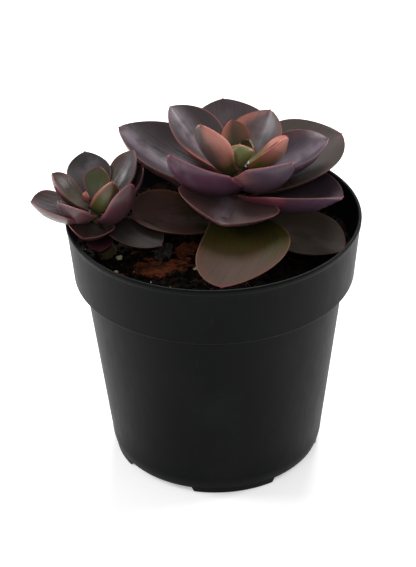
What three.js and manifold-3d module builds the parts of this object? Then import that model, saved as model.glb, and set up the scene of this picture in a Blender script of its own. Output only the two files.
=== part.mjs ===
// A potted echeveria: a black nursery pot of gritty compost, a large open rosette on a short stem,
// and a small offset rosette on its own stem beside it. Every leaf is one solid of the same family:
// a fleshy spoon with a channel above, a keel below and a small pointed tip.
// Millimetres, +Z up, standing on the pot's feet.
import * as THREE from "three";
import { mergeVertices } from "three/addons/utils/BufferGeometryUtils.js";
import Module from "manifold-3d";

const wasm = await Module();
wasm.setup();

// Driving dimensions
const GAP = 0.35; // clearance between pieces that touch
const POT_HEIGHT = 93.3;
const RIM_RADIUS = 51;
const COLLAR_FOOT_Z = 71; // the collar ends here in a step
const COLLAR_FOOT_RADIUS = 48.9;
const BODY_TOP_RADIUS = 45.4;
const CORNER_Z = 7.5; // the wall turns in towards the base below here
const CORNER_RADIUS = 38.15;
const BASE_RADIUS = 36.9; // of the base and of the feet, which are flush with it
const WALL = 0.9;
const LIP = 1.3; // thickness of the rounded lip
const FLOOR = 1.4;
const FOOT_HEIGHT = 2;
const FOOT_SPAN = 47; // degrees of arc
const FOOT_WIDTH = 3.4;
const FIRST_FOOT = 279; // degrees round from +X
const FEET = 4;
const SOIL_LEVEL = 80;

const ROSETTE_LEVEL = 100; // height at which the two stems' centres are given
const MAIN_STEM = { x: 8, y: 9, leanX: 0.25, leanY: 0.12, top: 107.2, topRadius: 1, perMm: 0.15 };
const OFFSET_STEM = { x: -41, y: -4, leanX: -0.2, leanY: 0, top: 100, topRadius: 1.1, perMm: 0.13 };

const COLOURS = {
  pot: [0x1b1d1e, 0.55],
  soil: [0x241a14, 0.95],
  stem: [0x6b5a3c, 0.8],
  leaf: [0x5a4648, 0.5],
  bark: [0x5a3020, 0.9],
  driedLeaf: [0x6d645c, 0.85],
  grit: [0xd9d4c4, 0.9],
};

const radians = THREE.MathUtils.degToRad;
const part = new THREE.Group();

function material([color, roughness]) {
  return new THREE.MeshStandardMaterial({ color, roughness, metalness: 0 });
}

// A closed geometry as a manifold-3d solid, and back.
function toSolid(geometry) {
  const bare = geometry.clone();
  bare.deleteAttribute("normal");
  bare.deleteAttribute("uv");
  const merged = mergeVertices(bare, 1e-3);
  const mesh = new wasm.Mesh({
    numProp: 3,
    vertProperties: merged.attributes.position.array,
    triVerts: new Uint32Array(merged.index.array),
  });
  return new wasm.Manifold(mesh);
}

function toGeometry(solid) {
  const mesh = solid.getMesh();
  return new THREE.BufferGeometry()
    .setAttribute("position", new THREE.BufferAttribute(mesh.vertProperties, 3))
    .setIndex(new THREE.BufferAttribute(mesh.triVerts, 1));
}

function addPiece(name, solid, look) {
  const geometry = toGeometry(solid);
  geometry.computeVertexNormals();
  const mesh = new THREE.Mesh(geometry, material(look));
  mesh.name = name;
  part.add(mesh);
}

// A solid cut by its neighbours keeps only its largest body.
function largestBody(solid) {
  const bodies = solid.decompose();
  return bodies.reduce((best, body) => (body.volume() > best.volume() ? body : best));
}

// Pot: a thin tapered wall with a deeper collar at the top, a rounded lip and a flat floor.
const FLOOR_Z = FOOT_HEIGHT;
const FLOOR_TOP = FLOOR_Z + FLOOR;

function innerRadius(z) {
  const z0 = CORNER_Z;
  const z1 = COLLAR_FOOT_Z + WALL;
  const z2 = POT_HEIGHT - LIP;
  if (z <= z1) return THREE.MathUtils.mapLinear(z, z0, z1, CORNER_RADIUS - WALL, BODY_TOP_RADIUS - WALL);
  const foot = COLLAR_FOOT_RADIUS - WALL;
  return THREE.MathUtils.mapLinear(Math.min(z, z2), z1, z2, foot, RIM_RADIUS - LIP);
}

function potWall() {
  const points = [
    [0, FLOOR_Z],
    [BASE_RADIUS, FLOOR_Z],
    [BASE_RADIUS + 0.4 * (CORNER_RADIUS - BASE_RADIUS), (FLOOR_Z + CORNER_Z) / 2],
    [CORNER_RADIUS, CORNER_Z],
    [BODY_TOP_RADIUS, COLLAR_FOOT_Z],
    [COLLAR_FOOT_RADIUS, COLLAR_FOOT_Z],
    [RIM_RADIUS - 0.2, POT_HEIGHT - 1.7 * LIP],
    [RIM_RADIUS, POT_HEIGHT - LIP],
    [RIM_RADIUS - 0.1, POT_HEIGHT - 0.4 * LIP],
    [RIM_RADIUS - 0.4 * LIP, POT_HEIGHT],
    [RIM_RADIUS - 0.8 * LIP, POT_HEIGHT - 0.1],
    [RIM_RADIUS - LIP, POT_HEIGHT - LIP],
    [COLLAR_FOOT_RADIUS - WALL, COLLAR_FOOT_Z + WALL],
    [BODY_TOP_RADIUS - WALL, COLLAR_FOOT_Z + WALL],
    [CORNER_RADIUS - WALL, CORNER_Z],
    [BASE_RADIUS - WALL, FLOOR_TOP],
    [0, FLOOR_TOP],
  ];
  const lathe = new THREE.LatheGeometry(points.map(([r, z]) => new THREE.Vector2(r, z)), 56);
  return lathe.rotateX(Math.PI / 2);
}

// An arc-shaped block standing on z = 0, between two radii.
function arcBlock(inner, outer, centre, span, height) {
  const from = radians(centre - span / 2);
  const to = radians(centre + span / 2);
  const shape = new THREE.Shape();
  shape.absarc(0, 0, outer, from, to, false);
  shape.absarc(0, 0, inner, to, from, true);
  shape.closePath();
  return new THREE.ExtrudeGeometry(shape, { depth: height, bevelEnabled: false, curveSegments: 8 });
}

function makePot() {
  let pot = toSolid(potWall());
  for (let i = 0; i < FEET; i++) {
    const centre = FIRST_FOOT + (i * 360) / FEET;
    const foot = arcBlock(BASE_RADIUS - FOOT_WIDTH, BASE_RADIUS, centre, FOOT_SPAN, FOOT_HEIGHT + 0.5);
    pot = pot.add(toSolid(foot));
  }
  return pot;
}

// Soil: fills the pot to just under the collar's middle, lumpy on top and a little heaped at the stems.
function soilHeight(x, y) {
  const lumps = 0.9 * Math.sin(x * 0.21 + 0.6) * Math.cos(y * 0.17) + 0.5 * Math.sin(x * 0.43 - y * 0.37);
  const heap = 2.2 * Math.exp(-((x - 3) ** 2 + (y - 6) ** 2) / 260);
  return SOIL_LEVEL + lumps + heap;
}

function ringSolid(rings) {
  // rings: each a list of points all the way round; the first and last rings are single points
  const positions = [];
  const starts = rings.map((ring) => {
    const start = positions.length / 3;
    ring.forEach((point) => positions.push(point.x, point.y, point.z));
    return start;
  });
  const index = [];
  for (let k = 0; k + 1 < rings.length; k++) {
    const [a, b] = [rings[k], rings[k + 1]];
    const count = Math.max(a.length, b.length);
    for (let i = 0; i < count; i++) {
      const j = (i + 1) % count;
      const [a0, a1] = [starts[k] + (i % a.length), starts[k] + (j % a.length)];
      const [b0, b1] = [starts[k + 1] + (i % b.length), starts[k + 1] + (j % b.length)];
      if (a.length > 1) index.push(a0, a1, b1);
      if (b.length > 1) index.push(a0, b1, b0);
    }
  }
  const geometry = new THREE.BufferGeometry();
  geometry.setAttribute("position", new THREE.Float32BufferAttribute(positions, 3));
  return geometry.setIndex(index);
}

function circle(radius, segments, height) {
  const points = [];
  for (let i = 0; i < segments; i++) {
    const turn = (i / segments) * 2 * Math.PI;
    const x = radius * Math.cos(turn);
    const y = radius * Math.sin(turn);
    points.push(new THREE.Vector3(x, y, height(x, y)));
  }
  return points;
}

function makeSoil() {
  const segments = 40;
  const bottom = FLOOR_TOP + GAP;
  const step = COLLAR_FOOT_Z + WALL + GAP;
  const atBody = innerRadius(COLLAR_FOOT_Z) - GAP;
  const atCollar = innerRadius(step + 0.01) - GAP;
  const edge = innerRadius(SOIL_LEVEL) - GAP - 0.1;
  const rings = [[new THREE.Vector3(0, 0, bottom)]];
  rings.push(circle(BASE_RADIUS - WALL - GAP - 0.1, segments, () => bottom));
  rings.push(circle(atBody, segments, () => step));
  rings.push(circle(atCollar - 0.1, segments, () => step + 0.05));
  rings.push(circle(edge, segments, soilHeight));
  for (const share of [0.88, 0.74, 0.58, 0.4, 0.2]) {
    rings.push(circle(edge * share, segments, soilHeight));
  }
  rings.push([new THREE.Vector3(0, 0, soilHeight(0, 0))]);
  return toSolid(ringSolid(rings));
}

// Stems: short, tapering and leaning, each rooted a little way down in the soil.
function stemCentre(stem, z) {
  const up = z - ROSETTE_LEVEL;
  return { x: stem.x + up * stem.leanX, y: stem.y + up * stem.leanY };
}

function makeStem(stem, grow = 0) {
  const rootZ = SOIL_LEVEL - 6 - grow;
  const top = stem.top + grow;
  const steps = 9;
  const rings = [];
  const at = (z) => new THREE.Vector3(stemCentre(stem, z).x, stemCentre(stem, z).y, z);
  rings.push([at(rootZ)]);
  for (let k = 0; k <= steps; k++) {
    const z = rootZ + ((top - rootZ) * k) / steps;
    const radius = stem.topRadius + (top - z) * stem.perMm + grow;
    const centre = at(z);
    const ring = circle(radius * (1 + 0.06 * Math.sin(5 * k)), 12, () => z);
    rings.push(ring.map((point) => new THREE.Vector3(point.x + centre.x, point.y + centre.y, z)));
  }
  rings.push([at(top + 0.4)]);
  return toSolid(ringSolid(rings));
}

// Leaves. Each one grows from its stem at height `base`, `az` degrees round from +X, and its tip is
// `reach` out from the stem's centre at height `tip`. `arch` bellies the midrib down and out, `cup`
// lifts the margins, `roll` turns the blade about its midrib, `bow` bends it sideways, and `neck` and
// `widest` shape its outline.
const LEAF = {
  start: 2.5,
  arch: 0.12,
  thick: 3,
  cup: 0.35,
  roll: 0,
  neck: 0.42,
  widest: 0.6,
  shoulder: 2.2,
  point: 0.72,
  keel: 0.3,
  bow: 0,
};

const MAIN_LEAVES = {
  bud_leaf_a: {
    az: 260, reach: 3.2, tip: 116.6, base: 108, width: 9.5, start: 1.5,
    arch: 0.3, thick: 2.4,
  },
  bud_leaf_b: { az: 40, reach: 3, tip: 115.4, base: 108.5, width: 7, start: 1.2, arch: 0.3, thick: 2 },
  leaf_01: { az: 110, reach: 8, tip: 120.5, base: 107, width: 10.5, arch: 0.15, cup: 0.4 },
  leaf_02: { az: 1, reach: 16.5, tip: 117.5, base: 106, width: 12, arch: 0.2, cup: 0.45, roll: -15 },
  leaf_03: { az: 211, reach: 15.4, tip: 127, base: 105, width: 13.2, roll: 25, shoulder: 1.7 },
  leaf_04: {
    az: 328, reach: 22.3, tip: 114.2, base: 100, width: 21, arch: 0.22,
    roll: -24, neck: 0.8, widest: 0.45, shoulder: 1.8,
  },
  leaf_05: {
    az: 57, reach: 21.3, tip: 119.1, base: 104.5, width: 18.5, arch: 0.15,
    cup: 0.4, shoulder: 1.9,
  },
  leaf_06: {
    az: 214, reach: 26.6, tip: 119.8, base: 99, width: 28, arch: 0.25,
    roll: 12, neck: 0.68, widest: 0.48, shoulder: 1.5, point: 0.85,
  },
  leaf_07: { az: 145.5, reach: 28.5, tip: 122, base: 103, width: 22, arch: 0.15, cup: 0.4 },
  leaf_08: { az: 11, reach: 33.0, tip: 113.5, base: 101, width: 24, arch: 0.15, cup: 0.4 },
  leaf_09: { az: 98, reach: 30, tip: 118, base: 101, width: 29, cup: 0.3, shoulder: 1.8 },
  leaf_10: {
    az: 261.6, reach: 30, tip: 100.5, base: 97, width: 35, arch: 0.05,
    cup: 0.3, roll: -10, shoulder: 1.9,
  },
  leaf_11: { az: 338, reach: 40.5, tip: 102.5, base: 96, width: 27, arch: 0.15, cup: 0.5, roll: -8 },
  leaf_12: { az: 159, reach: 43, tip: 115, base: 97, width: 30, arch: 0.15, cup: 0.4, shoulder: 1.8 },
  leaf_13: { az: 24.5, reach: 42.7, tip: 109.5, base: 97, width: 37.5, arch: 0.1, cup: 0.3, roll: 3 },
  leaf_14: {
    az: 202, reach: 35.5, tip: 95, base: 87, width: 27, arch: 0.02,
    thick: 2.3, cup: 0.25, roll: -8, point: 0.62,
  },
  leaf_15: {
    az: 265.5, reach: 50, tip: 88.5, base: 91, width: 30.5, arch: -0.1,
    cup: 0.15, point: 0.6, bow: 7.2,
  },
  leaf_16: { az: 331, reach: 45.3, tip: 85.6, base: 89, width: 28, arch: 0.03, cup: 0.2 },
  leaf_17: { az: 62, reach: 36, tip: 97.5, base: 93, width: 28, arch: 0.08, cup: 0.3 },
  leaf_18: { az: 126, reach: 36, tip: 97.5, base: 93, width: 27, arch: 0.08, cup: 0.3 },
};

const OFFSET_LEAVES = {
  offset_bud: { az: 190, reach: 1.5, tip: 105.5, base: 101, width: 4, start: 0.8, arch: 0.2, thick: 1.5 },
  offset_leaf_01: {
    az: 66, reach: 6.5, tip: 111.5, base: 100, width: 10, start: 1.5,
    arch: 0.2, thick: 2,
  },
  offset_leaf_02: {
    az: 322, reach: 8.6, tip: 112.0, base: 98, width: 8.5, start: 1.5,
    arch: 0.2, thick: 2.2, roll: -34, neck: 0.8, widest: 0.4,
  },
  offset_leaf_03: {
    az: 168, reach: 14.3, tip: 111, base: 98, width: 11.5, start: 1.5,
    arch: 0.2, thick: 2.2,
  },
  offset_leaf_04: { az: 103, reach: 15, tip: 113, base: 97, width: 15.5, arch: 0.15, thick: 2.4 },
  offset_leaf_05: { az: 35, reach: 17, tip: 115.5, base: 97.5, width: 13, arch: 0.2, thick: 2.4 },
  offset_leaf_06: {
    az: 212, reach: 13.9, tip: 105.3, base: 96, width: 14.5, arch: 0.25,
    thick: 2.4, roll: 10, neck: 0.75, widest: 0.45,
  },
  offset_leaf_07: {
    az: 324, reach: 14.8, tip: 112.9, base: 94, width: 10.5, arch: 0.25,
    thick: 2.4, roll: -12, neck: 0.6,
  },
  offset_leaf_08: {
    az: 24, reach: 18, tip: 110.5, base: 95, width: 13, arch: 0.15,
    thick: 2.4, cup: 0.3,
  },
  offset_leaf_09: { az: 191, reach: 22.5, tip: 104, base: 95, width: 18, arch: 0.12, thick: 2.6 },
  offset_leaf_10: {
    az: 248.3, reach: 13, tip: 93.2, base: 93, width: 17, arch: 0.1,
    thick: 2.2, roll: -4, neck: 0.85, widest: 0.35,
  },
  offset_leaf_11: { az: 326, reach: 27, tip: 91.5, base: 93, width: 17, arch: 0, thick: 2.4, cup: 0.2 },
  offset_leaf_12: {
    az: 271.0, reach: 16, tip: 90.1, base: 89.5, width: 9, arch: 0.02,
    thick: 2.4, cup: 0.3, neck: 0.7,
  },
  offset_leaf_13: { az: 130, reach: 16, tip: 96, base: 93, width: 12, arch: 0.1, thick: 2.4, cup: 0.3 },
  offset_leaf_14: { az: 70, reach: 18, tip: 98, base: 93.5, width: 12, arch: 0.1, thick: 2.4, cup: 0.3 },
};

// Half-width of the blade at share s of its length, as a share of its greatest half-width.
function outline(s, leaf) {
  if (s < leaf.widest) {
    const rise = Math.sin((Math.PI / 2) * (s / leaf.widest) ** 1.25);
    return leaf.neck + (1 - leaf.neck) * rise;
  }
  const beyond = (s - leaf.widest) / (1 - leaf.widest);
  return (1 - beyond ** leaf.shoulder) ** leaf.point;
}

// The midrib at share s: a point, the direction along it, the direction across and the one off the face.
function midrib(s, leaf, stem) {
  const turn = radians(leaf.az);
  const rise = leaf.tip - leaf.base;
  const run = leaf.reach - leaf.start;
  const middle = [
    (leaf.start + leaf.reach) / 2 + rise * leaf.arch,
    (leaf.base + leaf.tip) / 2 - run * leaf.arch,
  ];
  const bezier = (a, b, c) => (1 - s) ** 2 * a + 2 * s * (1 - s) * b + s ** 2 * c;
  const slope = (a, b, c) => 2 * (1 - s) * (b - a) + 2 * s * (c - b);
  const out = bezier(leaf.start, middle[0], leaf.reach);
  const centre = stemCentre(stem, leaf.base);
  const point = new THREE.Vector3(
    centre.x + out * Math.cos(turn),
    centre.y + out * Math.sin(turn),
    bezier(leaf.base, middle[1], leaf.tip),
  );
  const outward = slope(leaf.start, middle[0], leaf.reach);
  const upward = slope(leaf.base, middle[1], leaf.tip);
  const along = new THREE.Vector3(outward * Math.cos(turn), outward * Math.sin(turn), upward).normalize();
  const across = new THREE.Vector3(-Math.sin(turn), Math.cos(turn), 0);
  across.applyAxisAngle(along, radians(leaf.roll));
  point.addScaledVector(across, leaf.bow * Math.sin(Math.PI * s));
  const face = new THREE.Vector3().crossVectors(along, across);
  return { point, along, across, face };
}

// The leaf's skin: stations along the midrib, each an eye-shaped section round it.
function leafSolid(shape, stem, grow = 0) {
  const leaf = { ...LEAF, ...shape };
  const stations = leaf.width > 18 ? 8 : 6;
  const columns = leaf.width > 6 ? 6 : 4;
  const tipShare = 0.985;
  const rings = [];
  const last = midrib(1, leaf, stem);
  const first = midrib(0, leaf, stem);
  const atFace = (v) => (1 - Math.abs(v) ** 2.4) ** 0.6;
  const keelAt = (v) => leaf.keel * (1 - Math.abs(v)) ** 1.5;
  for (let k = 0; k <= stations; k++) {
    const s = tipShare * (1 - (1 - k / stations) ** 1.3);
    const { point, across, face } = midrib(s, leaf, stem);
    const bare = (leaf.width / 2) * outline(s, leaf);
    const half = bare + grow;
    const swell = 0.55 + 0.45 * Math.sin(Math.PI * Math.min(s / 0.9, 1) ** 0.8);
    const taper = Math.min((1 - s) / 0.25, 1) ** 0.45;
    const thick = Math.max(leaf.thick * swell * taper, 0.3);
    const lift = leaf.cup * bare * Math.sin(Math.PI * Math.min(s * 0.5 + 0.25, 1));
    const at = (v, side) => {
      const height = lift * Math.abs((v * half) / bare) ** 1.8;
      const off = side > 0 ? grow * atFace(v) : -(thick * (atFace(v) + keelAt(v)) + grow * atFace(v));
      return point.clone().addScaledVector(across, half * v).addScaledVector(face, height + off);
    };
    const ring = [];
    for (let i = 0; i < columns; i++) ring.push(at(-1 + (2 * i) / columns, 1));
    for (let i = 0; i < columns; i++) ring.push(at(1 - (2 * i) / columns, -1));
    rings.push(ring);
  }
  const depth = leaf.thick * 0.4;
  const heel = first.point.clone().addScaledVector(first.face, -depth).addScaledVector(first.along, -grow);
  rings.unshift([heel]);
  rings.push([last.point.clone().addScaledVector(last.face, -0.15).addScaledVector(last.along, grow)]);
  const solid = toSolid(ringSolid(rings));
  return solid.volume() < 0 ? toSolid(ringSolid(rings.reverse())) : solid;
}

// Leaves are laid from the bud outwards: each is cut clear of the stems, the pot and every leaf before it.
const pot = makePot();
let soil = makeSoil();
const mainStem = makeStem(MAIN_STEM);
const offsetStem = makeStem(OFFSET_STEM);
const clearance = [makeStem(MAIN_STEM, GAP), makeStem(OFFSET_STEM, GAP)];

function touches(a, b) {
  const [p, q] = [a.boundingBox(), b.boundingBox()];
  return [0, 1, 2].every((i) => p.min[i] < q.max[i] && q.min[i] < p.max[i]);
}

function addLeaves(leaves, stem, look) {
  for (const [name, shape] of Object.entries(leaves)) {
    let leaf = leafSolid(shape, stem);
    for (const other of clearance.filter((grown) => touches(leaf, grown))) {
      leaf = leaf.subtract(other);
    }
    leaf = largestBody(leaf);
    addPiece(name, leaf, look);
    clearance.push(leafSolid(shape, stem, GAP));
  }
}

soil = soil.subtract(clearance[0]).subtract(clearance[1]);
addPiece("pot", pot, COLOURS.pot);
addPiece("main_stem", mainStem, COLOURS.stem);
addPiece("offset_stem", offsetStem, COLOURS.stem);
addLeaves(MAIN_LEAVES, MAIN_STEM, COLOURS.leaf);
addLeaves(OFFSET_LEAVES, OFFSET_STEM, COLOURS.leaf);

// Loose pieces lying on the soil, each half sunk in a pocket of its own.
// `long`, `wide` and `thick` are its sizes, `turn` its heading and `tilt` how far its far end is raised.
const BARK = {
  bark_chip_front: { x: -19, y: -16, long: 18, wide: 8, thick: 3, turn: -12, tilt: 5, sides: 9 },
  bark_chip_back: { x: -9.5, y: -4.5, long: 9, wide: 7, thick: 3, turn: 50, tilt: 14, sides: 7 },
};
const DRIED_LEAF = { x: -17, y: -7, long: 9, wide: 6, thick: 1.1, turn: 65, tilt: 24, sides: 8 };
const GRAINS = [
  { x: -32.5, y: -9, size: 2.4 },
  { x: -6.6, y: -17, size: 1.7 },
  { x: -21, y: -23.5, size: 1.6 },
  { x: -33.5, y: -16.5, size: 1.5 },
  { x: 31, y: -24, size: 1.6 },
];

// A flat piece with an uneven outline, lying on the soil.
function chipSolid(chip, index, grow = 0) {
  const shape = new THREE.Shape();
  for (let i = 0; i < chip.sides; i++) {
    const turn = (i / chip.sides) * 2 * Math.PI;
    const uneven = 1 + 0.16 * Math.sin(3.3 * i + index) + 0.08 * Math.cos(5.1 * i);
    const x = (chip.long / 2 + grow) * Math.cos(turn) * uneven;
    const y = (chip.wide / 2 + grow) * Math.sin(turn) * uneven;
    if (i === 0) shape.moveTo(x, y);
    else shape.lineTo(x, y);
  }
  shape.closePath();
  const geometry = new THREE.ExtrudeGeometry(shape, { depth: chip.thick + 2 * grow, bevelEnabled: false });
  geometry.translate(0, 0, -chip.thick / 2 - grow);
  geometry.rotateY(-radians(chip.tilt)).rotateZ(radians(chip.turn));
  geometry.translate(chip.x, chip.y, soilHeight(chip.x, chip.y) + chip.thick * 0.3);
  return toSolid(geometry);
}

function grainSolid(grain, index, grow = 0) {
  const geometry = new THREE.IcosahedronGeometry(grain.size / 2 + grow, 0);
  geometry.scale(1.2, 0.9, 0.85).rotateZ(index);
  geometry.translate(grain.x, grain.y, soilHeight(grain.x, grain.y) + grain.size * 0.2);
  return toSolid(geometry);
}

function addLoose(name, make, piece, index, look) {
  addPiece(name, make(piece, index), look);
  soil = soil.subtract(make(piece, index, GAP));
}

Object.entries(BARK).forEach(([name, chip], i) => addLoose(name, chipSolid, chip, i, COLOURS.bark));
addLoose("dried_leaf", chipSolid, DRIED_LEAF, 3, COLOURS.driedLeaf);
GRAINS.forEach((grain, i) => addLoose(`perlite_${i + 1}`, grainSolid, grain, i, COLOURS.grit));
addPiece("soil", largestBody(soil), COLOURS.soil);

// The whole stands on z = 0, centred on its overall box.
const bounds = new THREE.Box3().setFromObject(part);
const centre = bounds.getCenter(new THREE.Vector3());
for (const mesh of part.children) mesh.geometry.translate(-centre.x, -centre.y, -bounds.min.z);

export default part;
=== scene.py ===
# A potted echeveria: a round black nursery pot of compost, a large rosette and its small offset.
import math
import random

import bpy
import numpy as np
from mathutils import Matrix, Vector


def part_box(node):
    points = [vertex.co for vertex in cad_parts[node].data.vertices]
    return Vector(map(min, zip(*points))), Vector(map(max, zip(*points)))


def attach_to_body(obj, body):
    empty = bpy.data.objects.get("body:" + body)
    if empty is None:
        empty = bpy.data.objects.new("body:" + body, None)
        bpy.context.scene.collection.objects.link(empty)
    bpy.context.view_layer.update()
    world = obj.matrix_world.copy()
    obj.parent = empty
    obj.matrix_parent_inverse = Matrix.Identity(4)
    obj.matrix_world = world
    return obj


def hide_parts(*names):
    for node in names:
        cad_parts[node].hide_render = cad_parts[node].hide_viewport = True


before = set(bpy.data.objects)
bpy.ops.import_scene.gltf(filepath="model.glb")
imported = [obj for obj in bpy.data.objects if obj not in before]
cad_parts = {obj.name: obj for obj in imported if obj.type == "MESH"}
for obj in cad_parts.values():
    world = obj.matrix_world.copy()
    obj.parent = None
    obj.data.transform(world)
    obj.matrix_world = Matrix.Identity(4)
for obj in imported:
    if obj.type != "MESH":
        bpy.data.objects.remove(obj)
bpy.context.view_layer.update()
scene = bpy.context.scene
MM = 0.001

# ---------------------------------------------------------------- camera
# The plant is seen from its front, from well above, through a long lens that keeps the pot's sides
# nearly parallel. Everything is placed from the pot's own axis.
pot_low, pot_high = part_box("pot")
axis_x = (pot_low.x + pot_high.x) / 2
axis_y = (pot_low.y + pot_high.y) / 2
pot_axis = Vector((axis_x, axis_y, 0))

VIEW_ELEVATION = math.radians(32.1)
VIEW_ROLL = math.radians(-1.07)
VIEW_DISTANCE = 700 * MM
VIEW_AIM = pot_axis + Vector((-2.31, 0, 64.4)) * MM
LENS_MM = 126.4
SENSOR_MM = 36
FAR_CLIP = 20

forward = Vector((0, math.cos(VIEW_ELEVATION), -math.sin(VIEW_ELEVATION)))
level_up = Vector((1, 0, 0)).cross(forward)
right = Vector((1, 0, 0)) * math.cos(VIEW_ROLL) + level_up * math.sin(VIEW_ROLL)
up = right.cross(forward)
camera_data = bpy.data.cameras.new("view")
camera_data.lens = LENS_MM
camera_data.sensor_width = SENSOR_MM
camera_data.clip_end = FAR_CLIP
camera = bpy.data.objects.new("view", camera_data)
scene.collection.objects.link(camera)
turn = Matrix((right, up, -forward)).transposed()
camera.matrix_world = Matrix.Translation(VIEW_AIM - forward * VIEW_DISTANCE) @ turn.to_4x4()
scene.camera = camera
scene.view_settings.view_transform = "Standard"

# ---------------------------------------------------------------- floor and light
# A sheet of white card that glows a little, lit by a softbox overhead, one at each side and a weak
# fill in front, with a pale sky all round to lift the shade.
SKY_STRENGTH = 0.5
CARD_WHITE = 0.93
CARD_GLOW = 0.36
sky = bpy.data.worlds.new("sky")
sky.use_nodes = True
sky.node_tree.nodes["Background"].inputs["Color"].default_value = (1, 1, 1, 1)
sky.node_tree.nodes["Background"].inputs["Strength"].default_value = SKY_STRENGTH
scene.world = sky


def add_object(name, points, faces, smooth=True):
    mesh = bpy.data.meshes.new(name)
    mesh.from_pydata([tuple(p) for p in points], [], [tuple(f) for f in faces])
    mesh.polygons.foreach_set("use_smooth", [smooth] * len(mesh.polygons))
    made = bpy.data.objects.new(name, mesh)
    scene.collection.objects.link(made)
    return made


def new_material(name, roughness):
    made = bpy.data.materials.new(name)
    made.use_nodes = True
    surface = made.node_tree.nodes["Principled BSDF"]
    surface.inputs["Roughness"].default_value = roughness
    return made, made.node_tree, surface


def colour(red, green, blue):
    """A paint colour given as 0 to 255, as a shader takes it."""
    shares = [part / 255 for part in (red, green, blue)]
    linear = [s / 12.92 if s <= 0.04045 else ((s + 0.055) / 1.055) ** 2.4 for s in shares]
    return (*linear, 1)


FLOOR_HALF = 3.0
floor_corners = [(-FLOOR_HALF, -FLOOR_HALF, 0), (FLOOR_HALF, -FLOOR_HALF, 0)]
floor_corners += [(FLOOR_HALF, FLOOR_HALF, 0), (-FLOOR_HALF, FLOOR_HALF, 0)]
floor = add_object("floor", floor_corners, [(0, 1, 2, 3)], smooth=False)
card, _, card_surface = new_material("white_card", 0.9)
card_surface.inputs["Base Color"].default_value = (CARD_WHITE, CARD_WHITE, CARD_WHITE, 1)
card_surface.inputs["Specular IOR Level"].default_value = 0
card_surface.inputs["Emission Color"].default_value = (1, 1, 1, 1)
card_surface.inputs["Emission Strength"].default_value = CARD_GLOW
floor.data.materials.append(card)


def add_lamp(name, place, target, size, power):
    """A round softbox of a size in metres and a power in watts, turned to face its target."""
    data = bpy.data.lights.new(name, "AREA")
    data.shape = "DISK"
    data.size = size
    data.energy = power
    lamp = bpy.data.objects.new(name, data)
    lamp.location = place
    lamp.rotation_euler = (Vector(target) - Vector(place)).to_track_quat("-Z", "Y").to_euler()
    scene.collection.objects.link(lamp)


lit_point = pot_axis + Vector((0, 0, 0.09))
add_lamp("overhead_softbox", (0.1, 0.75, 0.95), lit_point, 0.55, 13)
add_lamp("left_softbox", (-0.95, 0.1, 0.6), lit_point, 0.45, 6)
add_lamp("right_softbox", (0.95, 0.25, 0.55), lit_point, 0.35, 4)
add_lamp("front_fill", (-0.3, -1.0, 0.9), lit_point, 0.9, 1.6)

# ---------------------------------------------------------------- pot
# A thin black polypropylene nursery pot, injection moulded in one piece: a tapered body, a deeper
# collar with a step under it, a rounded lip, and four arc-shaped feet flush with the base.
POT_HEIGHT = pot_high.z - pot_low.z
RIM_RADIUS = (pot_high.x - pot_low.x) / 2
COLLAR_FOOT_Z = 71 * MM
COLLAR_FOOT_RADIUS = 48.9 * MM
BODY_TOP_RADIUS = 45.4 * MM
CORNER_Z = 7.5 * MM
CORNER_RADIUS = 38.15 * MM
BASE_RADIUS = 36.9 * MM
WALL = 0.9 * MM
LIP = 1.3 * MM
FLOOR_THICKNESS = 1.4 * MM
FOOT_HEIGHT = 2 * MM
FOOT_SPAN = 47
FOOT_PITCH = 90
FOOT_WIDTH = 3.4 * MM
FOOT_BEVEL = 0.3 * MM
FIRST_FOOT = 279
STEP_ROUND = 0.6 * MM
CORNER_STEPS = 8
BODY_STEPS = 12
COLLAR_STEPS = 6
POT_SEGMENTS = 240


def ring(radius, height, segments):
    """A level ring of points round the pot's axis. radius and height may be functions of the turn."""
    points = []
    for i in range(segments):
        angle = 2 * math.pi * i / segments
        r = radius(angle) if callable(radius) else radius
        z = height(angle) if callable(height) else height
        points.append((axis_x + r * math.cos(angle), axis_y + r * math.sin(angle), z))
    return points


def skin(rings, close_start=True, close_end=True):
    """Points and faces of a skin through rings of equal length, closed by a fan at each end if asked."""
    points = [point for one in rings for point in one]
    count = len(rings[0])
    faces = []
    for k in range(len(rings) - 1):
        for i in range(count):
            j = (i + 1) % count
            faces.append((k * count + i, k * count + j, (k + 1) * count + j, (k + 1) * count + i))
    if close_start:
        points.append(tuple(np.mean(rings[0], axis=0)))
        faces += [(len(points) - 1, (i + 1) % count, i) for i in range(count)]
    if close_end:
        last = (len(rings) - 1) * count
        points.append(tuple(np.mean(rings[-1], axis=0)))
        faces += [(len(points) - 1, last + i, last + (i + 1) % count) for i in range(count)]
    return points, faces


def foot_drop(angle):
    """How far the base reaches down at this turn: the foot's height on a foot, nothing between feet."""
    turn_from_foot = (math.degrees(angle) - FIRST_FOOT) % FOOT_PITCH
    turn_from_foot = min(turn_from_foot, FOOT_PITCH - turn_from_foot)
    return FOOT_HEIGHT if turn_from_foot < FOOT_SPAN / 2 else 0.0


def arc(centre_r, centre_z, radius, start, end, steps):
    """Profile points on an arc, in degrees from straight out."""
    turns = [math.radians(start + (end - start) * i / steps) for i in range(steps + 1)]
    return [(centre_r + radius * math.cos(t), centre_z + radius * math.sin(t)) for t in turns]


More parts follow.
